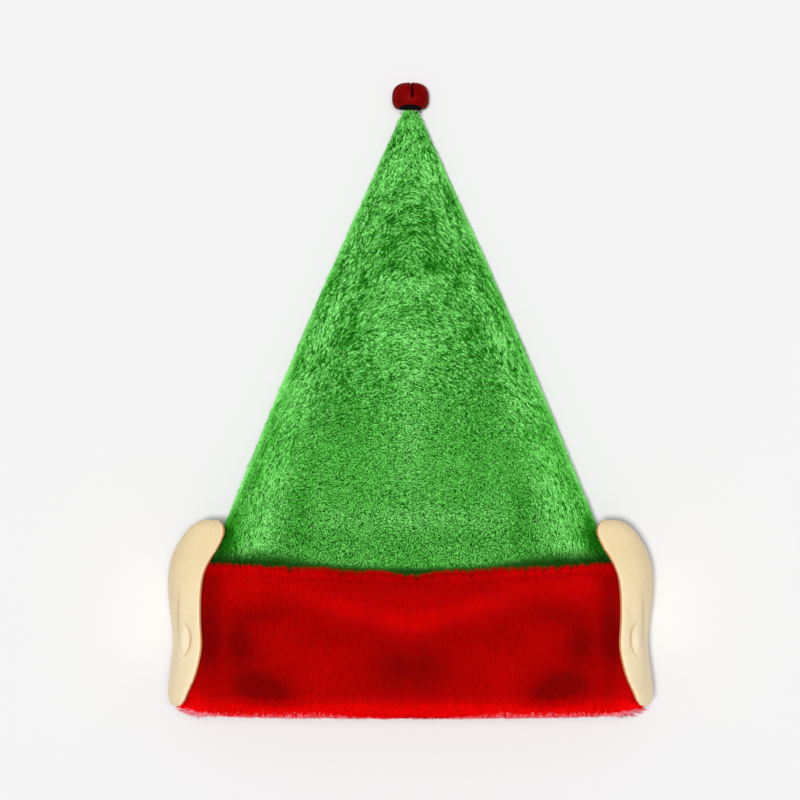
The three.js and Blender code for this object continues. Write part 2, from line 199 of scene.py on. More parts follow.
class Wire:
    """A socket of a finish's nodes, so that sums of such values read as they are."""

    def __init__(self, finish, socket):
        self.finish = finish
        self.socket = socket

    def math(self, operation, *values):
        return self.finish.node("ShaderNodeMath", {"operation": operation}, *values)

    def __add__(self, other):
        return self.math("ADD", self, other)

    def __mul__(self, other):
        return self.math("MULTIPLY", self, other)

    def __sub__(self, other):
        return self.math("SUBTRACT", self, other)

    def __rsub__(self, other):
        return self.math("SUBTRACT", other, self)

    __radd__ = __add__
    __rmul__ = __mul__

    def between(self, low, high):
        """0 below low, 1 above high and smooth between them."""
        return self.finish.node(
            "ShaderNodeMapRange", {"interpolation_type": "SMOOTHSTEP"}, self, low, high
        )


class Finish:
    """A material: one Principled shader and the nodes that feed it."""

    def __init__(self, name, constants):
        self.material = bpy.data.materials.new(name)
        self.material.use_nodes = True
        self.tree = self.material.node_tree
        self.shader = self.tree.nodes["Principled BSDF"]
        for socket, value in constants.items():
            self.shader.inputs[socket].default_value = value

    def node(self, kind, settings, *values, output=0, **named):
        node = self.tree.nodes.new(kind)
        for key, value in settings.items():
            if key == "stops":
                self.set_stops(node.color_ramp, value)
            else:
                setattr(node, key, value)
        for socket, value in zip(node.inputs, values):
            self.join(value, socket)
        for key, value in named.items():
            self.join(value, node.inputs[key.replace("_", " ")])
        return Wire(self, node.outputs[output])

    def set_stops(self, ramp, stops):
        while len(ramp.elements) < len(stops):
            ramp.elements.new(1.0)
        for element, (place, colour) in zip(ramp.elements, stops):
            element.position = place
            element.color = (*colour, 1.0)

    def join(self, value, socket):
        if isinstance(value, Wire):
            self.tree.links.new(value.socket, socket)
        elif hasattr(value, "__len__") and len(value) == 3 and len(socket.default_value) == 4:
            socket.default_value = (*value, 1.0)
        else:
            socket.default_value = value

    def feed(self, name, value):
        self.join(value, self.shader.inputs[name])

    def mix(self, factor, a, b, blend="MIX"):
        node = self.tree.nodes.new("ShaderNodeMix")
        node.data_type = "RGBA"
        node.blend_type = blend
        for index, value in ((0, factor), (6, a), (7, b)):
            self.join(value, node.inputs[index])
        return Wire(self, node.outputs[2])

    def attribute(self, name):
        """The three numbers that a mesh carries under this name."""
        colour = self.node("ShaderNodeAttribute", {"attribute_name": name})
        return [
            self.node("ShaderNodeSeparateColor", {}, colour, output=i) for i in range(3)
        ]

    def place(self):
        return self.node("ShaderNodeTexCoord", {}, output=3)

    def noise(self, scale, detail=2.0, roughness=0.5):
        return self.node(
            "ShaderNodeTexNoise",
            {},
            Vector=self.place(),
            Scale=scale,
            Detail=detail,
            Roughness=roughness,
        )

    def wave(self, direction, scale, distortion=0.0, detail=2.0):
        return self.node(
            "ShaderNodeTexWave",
            {"bands_direction": direction},
            Vector=self.place(),
            Scale=scale,
            Distortion=distortion,
            Detail=detail,
        )

    def bump(self, height, strength, distance):
        normal = self.node(
            "ShaderNodeBump", {}, Strength=strength, Distance=distance, Height=height
        )
        self.feed("Normal", normal)


# Meshes


def add_object(name, mesh, finish):
    obj = bpy.data.objects.new(name, mesh)
    bpy.context.scene.collection.objects.link(obj)
    obj.data.materials.clear()
    obj.data.materials.append(finish.material)
    return obj


def made_mesh(obj):
    """A new mesh of what the object's modifiers, or its curve, make."""
    bpy.context.view_layer.update()
    evaluated = obj.evaluated_get(bpy.context.evaluated_depsgraph_get())
    return bpy.data.meshes.new_from_object(evaluated)


def settle(obj):
    """Makes what the modifiers give the object's own mesh."""
    mesh = made_mesh(obj)
    obj.modifiers.clear()
    obj.data = mesh


def smooth_faces(mesh):
    mesh.polygons.foreach_set("use_smooth", np.ones(len(mesh.polygons), bool))


def read(mesh):
    """Its points, their normals, and its triangles."""
    mesh.calc_loop_triangles()
    points = np.empty(len(mesh.vertices) * 3, np.float32)
    normals = np.empty(len(mesh.vertices) * 3, np.float32)
    triangles = np.empty(len(mesh.loop_triangles) * 3, np.int32)
    mesh.vertices.foreach_get("co", points)
    mesh.vertex_normals.foreach_get("vector", normals)
    mesh.loop_triangles.foreach_get("vertices", triangles)
    return (
        points.reshape(-1, 3).astype(float),
        normals.reshape(-1, 3).astype(float),
        triangles.reshape(-1, 3),
    )


def move_points(mesh, points):
    mesh.vertices.foreach_set("co", points.astype(np.float32).ravel())
    mesh.update()


def tree_of(mesh):
    points, _, triangles = read(mesh)
    return BVHTree.FromPolygons(points.tolist(), triangles.tolist())


def covered(places, normals, tree, reach):
    """Which places have something within reach straight above them."""
    return np.array(
        [
            tree.ray_cast(Vector(p), Vector(n), reach)[0] is not None
            for p, n in zip(places + normals * JUST_OFF, normals)
        ]
    )


def distance_to(places, tree, reach):
    """How far each place is from the tree's surface, at most reach."""
    found = (tree.find_nearest(Vector(p), reach) for p in places)
    return np.array([reach if hit[0] is None else hit[3] for hit in found])


def smooth_copy(name, node, finish):
    """A copy of a CAD solid with rounder edges and finer faces."""
    obj = add_object(name, NODES[node].data.copy(), finish)
    build = bmesh.new()
    build.from_mesh(obj.data)
    bmesh.ops.remove_doubles(build, verts=build.verts, dist=WELD)
    bmesh.ops.join_triangles(
        build,
        faces=build.faces,
        angle_face_threshold=math.radians(60),
        angle_shape_threshold=math.radians(80),
    )
    build.to_mesh(obj.data)
    build.free()
    finer = obj.modifiers.new("smooth", "SUBSURF")
    finer.levels = finer.render_levels = FINER
    settle(obj)
    smooth_faces(obj.data)
    return obj


def mirrored(places):
    """The same places on the hat's right half."""
    return np.column_stack([np.abs(places[:, 0]), places[:, 1:]])


def write_numbers(mesh, name, columns):
    layer = mesh.attributes.new(name, "FLOAT_COLOR", "POINT")
    rows = np.ones((len(mesh.vertices), 4), np.float32)
    for i, column in enumerate(columns):
        rows[:, i] = column
    layer.data.foreach_set("color", rows.ravel())


# Pile


def scatter(points, normals, triangles, weights, count, rng):
    """Random places on the triangles, thicker where the weights are greater."""
    a, b, c = (points[triangles[:, i]] for i in range(3))
    area = np.linalg.norm(np.cross(b - a, c - a), axis=1) / 2
    share = area * weights
    chosen = rng.choice(len(triangles), size=count, p=share / share.sum())
    u, v = rng.random((2, count))
    flip = u + v > 1
    u[flip], v[flip] = 1 - u[flip], 1 - v[flip]
    w = 1 - u - v
    mixed = lambda rows: (
        rows[triangles[chosen, 0]] * w[:, None]
        + rows[triangles[chosen, 1]] * u[:, None]
        + rows[triangles[chosen, 2]] * v[:, None]
    )
    return mixed(points), unit(mixed(normals))


def tufts(roots, along, side, long, wide, rng):
    """Each strand's tuft: a random number for it, and how far off its middle the strand is."""
    middles = np.flatnonzero(rng.random(len(roots)) < STRAND_ROOM / (long * wide))
    tree = KDTree(len(middles))
    for i, place in enumerate(roots[middles]):
        tree.insert(place, i)
    tree.balance()
    near = np.array([[hit[1] for hit in tree.find_n(place, TUFTS_NEAR)] for place in roots])
    away = roots[:, None] - roots[middles][near]

    def measured(way, size):
        """How far away along the tuft's own way, as shares of the tuft's size."""
        sizes = np.broadcast_to(size, len(roots))[middles][near]
        return (away * way[middles][near]).sum(2) / sizes

    lengthwise, across = measured(along, long), measured(side, wide)
    own = np.arange(len(roots)), np.argmin(lengthwise**2 + across**2, 1)
    return rng.random(len(middles))[near[own]], np.clip(across[own], -0.5, 0.5)


def strands(name, finish, roots, normals, along, look, rng, painted_shade):
    """Pile as bent, tapering blades: a root, two shoulders and a tip each, in one mesh."""
    count = len(roots)
    along = unit(along - normals * (along * normals).sum(1)[:, None])
    side = np.cross(normals, along)
    tuft, off = tufts(roots, along, side, look["tuft_long"], look["tuft_wide"], rng)
    turn = rng.normal(0, look["stray"], count) + (tuft - 0.5) * look["tuft_turn"]
    turn -= off * look["gather"]
    heading = along * np.cos(turn)[:, None] + side * np.sin(turn)[:, None]
    crosswise = side * np.cos(turn)[:, None] - along * np.sin(turn)[:, None]
    press = look["press"]
    length = look["length"] * (1 + look["uneven"] * rng.uniform(-1, 1, count))
    length *= 1 + TUFT_UNEVEN * look["uneven"] * (tuft - 0.5)
    lift = (look["lift"] + rng.normal(0, look["lift_stray"], count)) * press
    settle_to = (look["tip_lift"] + rng.normal(0, look["lift_stray"], count)) * press

    def reach(start, share, angle):
        angle = np.clip(angle, *LIFTS)[:, None]
        step = heading * np.cos(angle) + normals * np.sin(angle)
        return start + step * (length * share)[:, None]

    root = roots - normals * ROOT_DEPTH
    shoulder = reach(root, 0.5, lift)
    tip = reach(shoulder, 0.5, settle_to)
    level = unit(np.cross(np.array([0, 0, 1.0]), heading))
    level *= np.where((level * crosswise).sum(1) < 0, -1, 1)[:, None]
    steep = LEVEL * (1 - smooth(np.abs(normals[:, 2]), 0.1, 0.7))[:, None]
    crosswise = unit(crosswise * (1 - steep) + level * steep)
    roll = rng.normal(0, look["roll"], count)[:, None]
    half = crosswise * np.cos(roll) + normals * np.sin(roll)
    half *= (look["width"] * rng.uniform(*WIDTHS, count) / 2)[:, None]
    blade = unit(np.cross(heading, half))
    blade *= np.sign((blade * normals).sum(1))[:, None]
    even = np.broadcast_to(look["even"], count)[:, None]
    facing = unit(normals * even + blade * (1 - even))
    facing[:, 2] += look["wrap"] * smooth(normals[:, 2], -0.6, 0.1)
    facing = unit(facing)
    half *= np.where((np.cross(shoulder - root, half) * facing).sum(1) < 0, -1, 1)[:, None]
    corners = np.stack([root, shoulder - half, shoulder + half, tip], 1)
    corners[:, :, 2] = np.maximum(corners[:, :, 2], FLOOR_CLEAR)

    mesh = bpy.data.meshes.new(name)
    mesh.vertices.add(count * 4)
    mesh.vertices.foreach_set("co", corners.astype(np.float32).ravel())
    loops = (np.arange(count)[:, None] * 4 + BLADE_FACES).ravel()
    mesh.loops.add(count * 6)
    mesh.loops.foreach_set("vertex_index", loops.astype(np.int32))
    mesh.polygons.add(count * 2)
    mesh.polygons.foreach_set("loop_start", np.arange(count * 2, dtype=np.int32) * 3)
    mesh.update(calc_edges=True)
    smooth_faces(mesh)

    grid = math.ceil(math.sqrt(count))
    cell = np.stack([np.arange(count) % grid, np.arange(count) // grid], 1)
    uv = (cell[:, None, :] + BLADE_CELL[None]) / grid
    layer = mesh.uv_layers.new(name="OFBake")
    layer.data.foreach_set("uv", uv.reshape(-1, 2)[loops].astype(np.float32).ravel())

    # Strands off their tuft's middle are darker, a painted shade in the partings between tufts; the
    # last number written is the painted shade of the patches.
    tone = np.clip(
        look["tone"]
        + (tuft - 0.5) * look["tuft_tone"]
        + rng.normal(0, look["strand_tone"], count)
        - np.abs(off) * look["parting"],
        0,
        1,
    )
    length_share = np.tile(BLADE_SHARES, count)
    write_numbers(mesh, "pile", (np.repeat(tone, 4), length_share, np.repeat(painted_shade, 4)))

    mesh.normals_split_custom_set_from_vertices(np.repeat(facing, 4, 0))
    return add_object(name, mesh, finish)


# Finishes


def pile_finish(name, colours, shade, grain, sheen, sheen_colour):
    """Pile: painted shade deep in between the strands, a painted highlight at their tips, and painted
    shade multiplied in over the shaded patches.
    """
    finish = Finish(
        name,
        {
            "Roughness": 0.85,
            "Specular IOR Level": 0.03,
            "Sheen Weight": sheen,
            "Sheen Roughness": 0.45,
            "Sheen Tint": (*sheen_colour, 1.0),
        },
    )
    tone, along, painted_shade = finish.attribute("pile")
    speckle = finish.noise(950.0, 1.0)
    # Along each strand the roots are painted darker, as shade between the strands, and the tips
    # lighter, as a painted highlight.
    lit = (tone * 0.75 + along * 0.38 + (speckle - 0.5) * grain - 0.07).between(0.0, 1.0)
    stops = [(at, linear(*colour)) for at, colour in zip(PILE_STOPS, colours)]
    colour = finish.node("ShaderNodeValToRGB", {"stops": stops}, lit)
    # The shade colour is multiplied in as painted shade wherever the mesh carries it.
    finish.feed("Base Color", finish.mix(painted_shade, colour, shade, "MULTIPLY"))
    return finish


def backing_finish(name, deep, inner):
    """The knit that carries the pile: deep between the strands, and a bare knit on its other side."""
    finish = Finish(name, {"Roughness": 0.95, "Specular IOR Level": 0.05})
    side, _, _ = finish.attribute("side")
    knit = finish.wave("X", 260.0, 1.5, 1.0) * finish.wave("Y", 200.0, 1.5, 1.0)
    soft = finish.noise(60.0, 3.0)
    dim = lambda colour: tuple(c * 0.7 for c in colour)
    inside = finish.mix((knit * 0.6 + soft * 0.5).between(0.1, 1.0), dim(inner), inner)
    outside = finish.mix(soft, dim(deep), deep)
    finish.feed("Base Color", finish.mix(side, inside, outside))
    finish.bump(knit * (1 - side), 0.4, 0.3 * MM)
    return finish


def ear_finish():
    """Flocked foam: cream with a fine speckle, toasted along its cut edge."""
    finish = Finish(
        "ear_foam",
        {
            "Roughness": 0.8,
            "Specular IOR Level": 0.2,
            "Sheen Weight": 0.25,
            "Sheen Roughness": 0.5,
            "Sheen Tint": (1.0, 0.93, 0.8, 1.0),
        },
    )
    rim, height, relief = finish.attribute("ear")
    fleck = finish.noise(950.0, 2.0, 0.7)
    soft = finish.noise(45.0, 2.0)
    colour = finish.mix(height, linear(245, 224, 180), linear(236, 210, 158))
    # Soft mottling, flecks, a painted highlight on the raised lobe, painted shade in the drawn-in
    # lines, a painted highlight along the rim, and its toasted edge
    layers = [
        ((soft - 0.5) * 0.7, (222, 196, 146)),
        (fleck.between(0.35, 0.65) * 0.38, (252, 240, 212)),
        (relief * -0.45, (255, 246, 216)),
        (relief * 0.75, (196, 146, 88)),
        (rim.between(0.35, 0.6) * 0.45, (255, 246, 216)),
        (rim.between(0.62, 0.78), (226, 146, 78)),
    ]
    for share, tint in layers:
        colour = finish.mix(share, colour, linear(*tint))
    finish.feed("Base Color", colour)
    finish.bump(fleck * 0.35 - relief, 0.5, 0.5 * MM)
    return finish


def lacquer_finish():
    """Dark red lacquer with the fine scuffs of a tumbled bell."""
    finish = Finish("red_lacquer", {"Specular IOR Level": 0.01, "Coat Roughness": 0.35})
    scuff = finish.noise(700.0, 4.0, 0.6)
    cloud = finish.noise(160.0, 2.0)
    deep, light = linear(112, 3, 4), linear(138, 5, 6)
    finish.feed("Base Color", finish.mix(cloud.between(0.3, 0.75), deep, light))
    finish.feed("Roughness", 0.45 + scuff.between(0.4, 0.8) * 0.16)
    finish.feed("Coat Weight", 0.005 + cloud * 0.01)
    finish.bump(scuff, 0.08, 0.1 * MM)
    return finish


def steel_finish():
    finish = Finish("pellet_steel", {"Metallic": 1.0})
    grain = finish.noise(900.0, 3.0)
    finish.feed("Base Color", finish.mix(grain, linear(96, 98, 102), linear(150, 152, 156)))
    finish.feed("Roughness", 0.25 + grain * 0.25)
    finish.bump(grain, 0.1, 0.1 * MM)
    return finish


def thread_finish():
    finish = Finish("black_thread", {"Roughness": 0.9, "Specular IOR Level": 0.05})
    twist = finish.wave("DIAGONAL", 700.0)
    finish.feed("Base Color", finish.mix(twist, linear(4, 4, 4), linear(17, 17, 18)))
    finish.bump(twist, 0.5, 0.1 * MM)
    return finish


def floor_finish():
    finish = Finish("pale_floor", {"Roughness": 0.9, "Specular IOR Level": 0.1})
    grain = finish.noise(12.0, 2.0)
    finish.feed("Base Color", finish.mix(grain, (0.86, 0.86, 0.862), (0.87, 0.87, 0.872)))
    return finish


# Each pile's shade colour is multiplied in as painted shade: the green's, near black, along the
# cuff's top edge.
GREEN_PILE = pile_finish(
    "green_pile",
    [(2, 90, 0), (56, 166, 38), (102, 214, 84), (152, 248, 136)],
    shade=(0.06, 0.09, 0.04),
    grain=0.8,
    sheen=0.04,
    sheen_colour=(0.6, 1.0, 0.5),
)
# The red's shade colour is multiplied in as painted shade over the cuff, deepest in its dents.
RED_CLOTH = {"shade": (0.37, 0.1, 0.1), "grain": 0.2, "sheen": 0.0, "sheen_colour": (1.0, 0.1, 0.08)}
RED_PILE = pile_finish(
    "red_pile", [(140, 0, 0), (202, 0, 0), (228, 0, 1), (255, 4, 8)], **RED_CLOTH
)
# The loose hem strands are painted pale pink, a painted sheen along the hem's edge.
RED_FUZZ_SHEEN = pile_finish(
    "red_fuzz_sheen", [(228, 14, 26), (246, 62, 80), (252, 122, 138), (255, 176, 186)], **RED_CLOTH
)
# The green backing's outer side is painted dark, as shade deep between the strands; its inner side is
# lighter.
GREEN_BACKING = backing_finish("green_backing", linear(26, 92, 20), linear(96, 168, 84))
RED_BACKING = backing_finish("red_backing", linear(190, 0, 0), linear(150, 10, 10))
EAR = ear_finish()
LACQUER = lacquer_finish()
STEEL = steel_finish()
THREAD = thread_finish()
FLOOR = floor_finish()


# The cone

# Soft patches on the front of the cone, in mm from the middle of the hat, on both sides: painted
# shade where the depth is above 0 and painted highlight where it is below 0; they are also pressed in
# as shallow dents
CROWN_SHADE = [
    {"x": 10, "y": 147, "wide": 4, "tall": 12, "tilt": 23, "depth": -0.35},
    {"x": 0, "y": 124, "wide": 6, "tall": 7, "tilt": 0, "depth": -0.3},
    {"x": 10, "y": 116, "wide": 7, "tall": 5, "tilt": 0, "depth": 0.4},
    {"x": 0, "y": 104, "wide": 16, "tall": 4, "tilt": 0, "depth": 0.3},
    {"x": 11, "y": 94, "wide": 8, "tall": 7, "tilt": 0, "depth": 0.35},
    {"x": 12, "y": 84, "wide": 7, "tall": 4, "tilt": 0, "depth": 0.6},
    {"x": 28, "y": 74, "wide": 3.5, "tall": 7, "tilt": 8, "depth": 0.5},
    {"x": 0, "y": 71, "wide": 16, "tall": 5, "tilt": 0, "depth": -0.35},
    {"x": 7, "y": 57, "wide": 5, "tall": 3, "tilt": 0, "depth": 0.3},
    {"x": 38, "y": 44, "wide": 9, "tall": 28, "tilt": 15, "depth": 0.27},
    {"x": 0, "y": 38, "wide": 9, "tall": 10, "tilt": 0, "depth": -0.4},
    {"x": 0, "y": 17, "wide": 11, "tall": 9, "tilt": 0, "depth": -0.2},
    {"x": 55, "y": 43, "wide": 4, "tall": 20, "tilt": 23, "depth": -0.25},
    {"x": 88, "y": -62, "wide": 8, "tall": 22, "tilt": 10, "depth": -0.22},
    {"x": 66, "y": -10, "wide": 12, "tall": 14, "tilt": 0, "depth": -0.16},
    {"x": 69, "y": -72, "wide": 7, "tall": 20, "tilt": 5, "depth": 0.16},
    {"x": 115, "y": -86, "wide": 6, "tall": 14, "tilt": 20, "depth": 0.8},
    {"x": 0, "y": -30, "wide": 26, "tall": 34, "tilt": 0, "depth": -0.12},
    {"x": 0, "y": -2, "wide": 7, "tall": 34, "tilt": 0, "depth": -0.18},
    {"x": 0, "y": -75, "wide": 64, "tall": 7, "tilt": 0, "depth": -0.2},
]


def crown_half_width(up):
    return (CROWN_HALF - CROWN_TAPER * up + CROWN_SWELL * np.sin(math.pi * up)) * MM


def crown_share(places):
    """How far out towards the cone's side each place is, 0 to 1, and how far up it, 0 to 1."""
    up = np.clip((places[:, 1] - CUFF_TOP_Y) / (TIP_Y - CUFF_TOP_Y), 0, 1)
    return np.clip(np.abs(places[:, 0]) / crown_half_width(up), 0, 1), up


def crown_long(places):
    """Where the cone's pile is long and combed: up its tip and along both sides."""
    share, up = crown_share(places)
    return np.clip(smooth(up, 0.3, 0.62) * 0.8 + smooth(share, 0.62, 0.86), 0, 1)


def crown_way(places):
    """The pile runs down and outwards from the middle of the front."""
    share, up = crown_share(places)
    fold = mirrored(places)
    # How many degrees below level it points
    drop = 22 + 42 * share**0.8 + 40 * (1 - smooth(up, 0.03, 0.22))
    drop = np.clip(drop + 16 * cloudy(fold, 24 * MM, 11), 5, 90)
    tip = near_tip(places, 30, 8)
    drop = np.radians(drop * (1 - tip) + 84 * tip)
    way = np.zeros_like(places)
    rng = np.random.default_rng(15)
    sway = rng.normal(0, 7 * MM, len(places))
    way[:, 0] = np.where(places[:, 0] + sway < 0, -1, 1) * np.cos(drop)
    way[:, 1] = -np.sin(drop)
    upwards = rng.random(len(places)) < near_tip(places, 4, 1)
    way[:, 1] *= np.where(upwards, -1, 1)
    return way


def cuff_top(places):
    """How high each place is above the cuff's top edge, which dips in the middle."""
    share = np.clip(np.abs(places[:, 0]) / CUFF_DIP_HALF, 0, 1)
    return places[:, 1] - CUFF_TOP_Y + CUFF_DIP * np.cos(math.pi / 2 * share) ** 1.5


def crown_shade(places):
    """How much painted shade darkens the pile: in its dents and where it is stroked the other way,
    with painted highlight where a spot's depth is below 0, and a soft random mottling.
    """
    front = above_floor(places, 2, 10)
    fold = mirrored(places)
    spots = patches(places, CROWN_SHADE) * front
    mottled = 0.02 + 0.09 * crown_long(places)
    return spots + mottled * cloudy(fold, 9 * MM, 21) + 0.03 * cloudy(fold, 40 * MM, 22)


def crown_shade_by_cuff(places):
    """1 where the pile goes down behind the cuff, where painted shade darkens it, near black, along
    the cuff's top edge.
    """
    side = off_middle(places, 40, 95)
    return 1 - smooth(cuff_top(places), (5.5 + side) * MM, (10 + 8 * side) * MM)


def crown_look(places):
    share, up = crown_share(places)
    combed = crown_long(places)
    crisp = smooth(up, 0.24, 0.52) * 0.95 + 0.4 * smooth(share, 0.62, 0.8)
    crisp = np.clip(crisp, 0, 1) * (1 - 0.65 * smooth(share, 0.8, 0.95))
    # A painted highlight lightens the pile's tone along the cone's side edges, and its tufts differ
    # less there.
    edge_highlight = 1 - smooth((1 - share) * crown_half_width(up), 2 * MM, 5.4 * MM)
    return {
        "length": (1.8 + 1.3 * combed) * MM,
        "width": 0.43 * MM,
        "lift": (0.95 - 0.4 * combed) * (1 - 0.4 * smooth(share, 0.86, 1)),
        "tip_lift": 0.6 - 0.4 * combed,
        "lift_stray": 0.18,
        "stray": 0.4 - 0.22 * combed,
        "tuft_long": (1.6 + 2.0 * combed) * MM,
        "tuft_wide": (0.66 + 0.14 * combed) * MM,
        "tuft_turn": 0.08 + 0.17 * combed,
        "gather": 0.05 + 0.2 * combed,
        "tone": 0.7
        - 0.12 * smooth(up, 0.15, 0.45)
        + 0.2 * edge_highlight
        - 0.95 * crown_shade(places),
        "tuft_tone": (0.06 + 0.9 * crisp) * (1 - 0.15 * edge_highlight),
        "strand_tone": (0.06 + 0.38 * crisp) * (1 - 0.15 * edge_highlight),
        "parting": 0.1 + 0.2 * crisp,
        "roll": 0.4,
        "uneven": 0.12 + 0.16 * combed,
        "even": 0.5 - 0.2 * combed,
        "wrap": 0.6 + 1.2 * smooth(share, 0.8, 1),
    }


def dented(points, normals, table, depth, low, high, where=1):
    """The points, with the soft spots pressed into the upper side, which starts low to high mm up."""
    upper = smooth(normals[:, 2], 0.3, 0.8) * above_floor(points, low, high) * where
    press = np.clip(patches(points, table), -0.6, 0.8) * depth
    return points - normals * (press * upper)[:, None]


def laid(mesh, points, outer):
    """Moves the cloth's points, above the floor, marks its outer side and reads it again."""
    points[:, 2] = np.maximum(points[:, 2], FLOOR_CLEAR)
    move_points(mesh, points)
    write_numbers(mesh, "side", (outer, 0, 0))
    return read(mesh)


def make_crown(cuff_tree, ear_trees, bell_tree):
    backing = smooth_copy("crown_cloth", "crown", GREEN_BACKING)
    points, normals, _ = read(backing.data)
    start = points + normals * 0.2 * MM
    outer = ~covered(start, normals, tree_of(backing.data), ACROSS_HOLLOW)
    hidden = covered(points, normals, cuff_tree, CROWN_REACH)
    points -= normals * np.where(outer & ~hidden, CROWN_PILE, CROWN_COVERED)[:, None]
    points = dented(points, normals, CROWN_SHADE, 1.0 * MM, 2, 10, outer)
    points, normals, triangles = laid(backing.data, points, outer.astype(float))
    open_air = (outer & ~hidden)[triangles].all(1)
    middle, facing = points[triangles].mean(1), normals[triangles].mean(1)
    front = open_air & ((facing[:, 2] > -0.2) | (middle[:, 1] > TIP_Y - 8 * MM))
    tip = 1 + 5 * near_tip(middle, 9, 2)
    groups = {
        "crown_pile_left": (front * (middle[:, 0] < 0) * tip, 84000, 41),
        "crown_pile_right": (front * (middle[:, 0] >= 0) * tip, 84000, 42),
        "crown_pile_back": ((open_air & ~front) * 1.0, 36000, 43),
    }
    near = ([*ear_trees, bell_tree], CROWN_ROOM)
    grow = lambda name: grown(
        name, GREEN_PILE, (points, normals, triangles), groups[name], near,
        lambda places, upright: crown_way(places), crown_look, crown_shade_by_cuff,
    )
    return [backing, *map(grow, groups)]


def grown(name, finish, surface, group, near, way, look_of, painted_shade):
    """One piece of pile over its share of a surface."""
    weights, count, seed = group
    rng = np.random.default_rng(seed)
    roots, upright = scatter(*surface, weights.astype(float), int(count * SHARE), rng)
    look = {**look_of(roots), "press": room_for(roots, *near)}
    look["width"] = look["width"] / SHARE
    return strands(name, finish, roots, upright, way(roots, upright), look, rng, painted_shade(roots))


def room_for(roots, trees, reach):
    """How far the strands can stand up, 0 to 1, by what lies over them."""
    return smooth(np.min([distance_to(roots, tree, reach) for tree in trees], axis=0), 0, reach)


# The cuff

# Soft patches on the cuff, in mm from the middle of the hat, on both sides: painted shade where the
# depth is above 0 and painted highlight where it is below 0; they are also pressed in as dents
CUFF_SHADE = [
    {"x": 85, "y": -116, "wide": 34, "tall": 6, "tilt": 0, "depth": -0.25},
    {"x": 45, "y": -128, "wide": 22, "tall": 6.5, "tilt": 15, "depth": -0.45},
    {"x": 8, "y": -138, "wide": 16, "tall": 6.5, "tilt": 15, "depth": -0.4},
    {"x": 12, "y": -113, "wide": 26, "tall": 4, "tilt": 0, "depth": 0.3},
    {"x": 92, "y": -134, "wide": 18, "tall": 7, "tilt": 0, "depth": 0.35},
    {"x": 107, "y": -152, "wide": 10, "tall": 15, "tilt": 0, "depth": 0.6},
    {"x": 96, "y": -178, "wide": 14, "tall": 9, "tilt": 0, "depth": 0.9},
    {"x": 81, "y": -184, "wide": 9, "tall": 6, "tilt": 0, "depth": 0.35},
    {"x": 125, "y": -148, "wide": 7, "tall": 24, "tilt": 0, "depth": 0.7},
    {"x": 9, "y": -167, "wide": 17, "tall": 15, "tilt": 0, "depth": 0.5},
    {"x": 48, "y": -148, "wide": 26, "tall": 7, "tilt": 0, "depth": 0.18},
    {"x": 60, "y": -176, "wide": 17, "tall": 9, "tilt": 0, "depth": -0.1},
    {"x": 125, "y": -112, "wide": 9, "tall": 12, "tilt": 0, "depth": 0.35},
]

# A strand's tip lies this much higher up the cuff than its root
PILE_LEAN = np.array([0, 6 * MM, 0])


def outwards(places):
    """The way out of the hat's hollow, across the hat."""
    arm = np.zeros_like(places)
    arm[:, 0] = places[:, 0] - np.clip(places[:, 0], -CUFF_FLAT, CUFF_FLAT)
    arm[:, 2] = places[:, 2] - CUFF_MID_Z
    return unit(arm)


def cuff_way(places, normals):
    """The cuff's pile comes out of the hollow, round the hem's fold and up the outside."""
    out = outwards(places)
    way = out.copy()
    way[:, 1] += (normals * out).sum(1) * 2
    fold = mirrored(places)
    way[:, 0] += np.tanh(places[:, 0] / (25 * MM)) * 0.3 * cloudy(fold, 40 * MM, 61)
    return way


def cuff_painted_shade(places):
    # Painted shade on the cuff: a constant 0.46, its dents' spots seen where the strands' tips lie, a
    # soft random drift, and less of it along the hem and the top edge, a painted highlight.
    front = above_floor(places, 30, 45)
    fold = mirrored(places)
    spots = patches(places + PILE_LEAN, CUFF_SHADE) * front
    painted_highlight = 0.6 * (1 - above_hem(places, 2, 14))
    painted_highlight += 0.25 * smooth(cuff_top(places), -12 * MM, -3 * MM)
    drift = 0.06 * cloudy(fold, 18 * MM, 64) + 0.06 * cloudy(fold, 40 * MM, 65)
    return np.clip(0.46 + spots + drift - painted_highlight, 0, 1)


def cuff_look(places):
    hem = 1 - above_hem(places, 5, 20)
    rim = smooth(cuff_top(places), -12 * MM, -2 * MM)
    notch = np.exp(-((places[:, 0] / (14 * MM)) ** 2))
    belly = 1 - off_middle(places, 55, 92)
    corner = off_middle(places, 122, 136) * hem
    return {
        "length": (7.5 - 3.8 * hem + (1.5 * belly - 3.1 * notch) * rim) * MM,
        "width": 0.45 * MM,
        "lift": 0.4 + 0.05 * rim - 0.05 * hem,
        "tip_lift": 0.06 - 0.12 * hem,
        "lift_stray": 0.04,
        "stray": 0.1,
        "tuft_long": 9 * MM,
        "tuft_wide": 2.2 * MM,
        "tuft_turn": 0.12 + 0.1 * rim,
        "gather": 0.15 + 0.1 * rim,
        # The tone is lighter over the hem's fold, a painted highlight, and lighter still at its
        # corners.
        "tone": 0.5 + 0.36 * (1 - above_hem(places, 0, 10)) + 0.35 * corner,
        "tuft_tone": 0.03 + 0.2 * rim,
        "strand_tone": 0.03,
        "parting": 0.0,
        "roll": 0.15,
        "uneven": 0.28 - 0.2 * rim,
        "even": 1.0,
        "wrap": 1.6,
    }


